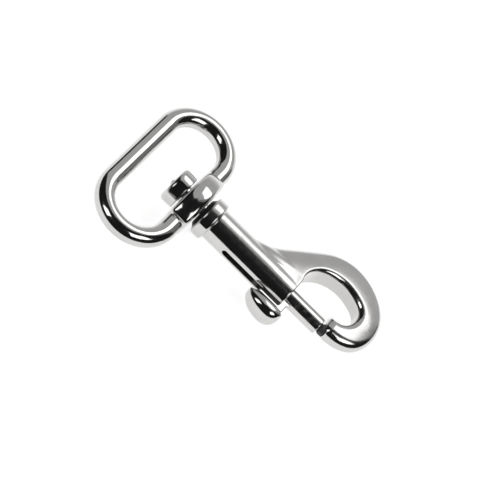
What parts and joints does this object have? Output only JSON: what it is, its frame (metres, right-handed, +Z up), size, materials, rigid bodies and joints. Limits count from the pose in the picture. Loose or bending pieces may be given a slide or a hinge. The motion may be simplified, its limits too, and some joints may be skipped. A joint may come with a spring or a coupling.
{
  "type": "swivel bolt snap",
  "caption": "Plated swivel snap with an oval strap eye, a cast hook and a spring bolt that a thumb knob draws back to open the hook.",
  "frame": {"origin": "under the middle of the snap as it lies flat, on the surface it lies on; the barrel's axis is 7.0 mm above it", "axes": "+X along the barrel from the strap eye to the hook, +Y towards the hook's bow, +Z up"},
  "size_m": [0.0796, 0.0486, 0.014],
  "materials": {
    "body_plate": "bright nickel-chrome plate on a die casting, faintly satin on the hook's flanks",
    "eye_plate": "bright nickel-chrome plate on a die casting",
    "stud_plate": "bright plate, turned",
    "bolt_plate": "bright plate, drawn rod",
    "lever_plate": "bright plate on a die casting",
    "spring_steel": "drawn spring wire"
  },
  "bodies": {
    "hook": {"hook_body": "body_plate", "swivel_stud": "stud_plate", "spring": "spring_steel"},
    "eye": {"swivel_eye": "eye_plate"},
    "bolt": {"bolt": "bolt_plate", "thumb_lever": "lever_plate"}
  },
  "joints": [
    {"name": "bolt_slide", "type": "slide", "parent": "hook", "child": "bolt", "axis": [-1, 0, 0], "range_m": [0, 0.0124], "stiffness_N_per_m": 300, "springref_m": -0.008, "deforming": ["spring"]},
    {"name": "eye_swivel", "type": "hinge", "parent": "hook", "child": "eye", "pos_m": [-0.01823, 0, 0.007], "axis": [1, 0, 0], "continuous": true}
  ]
}
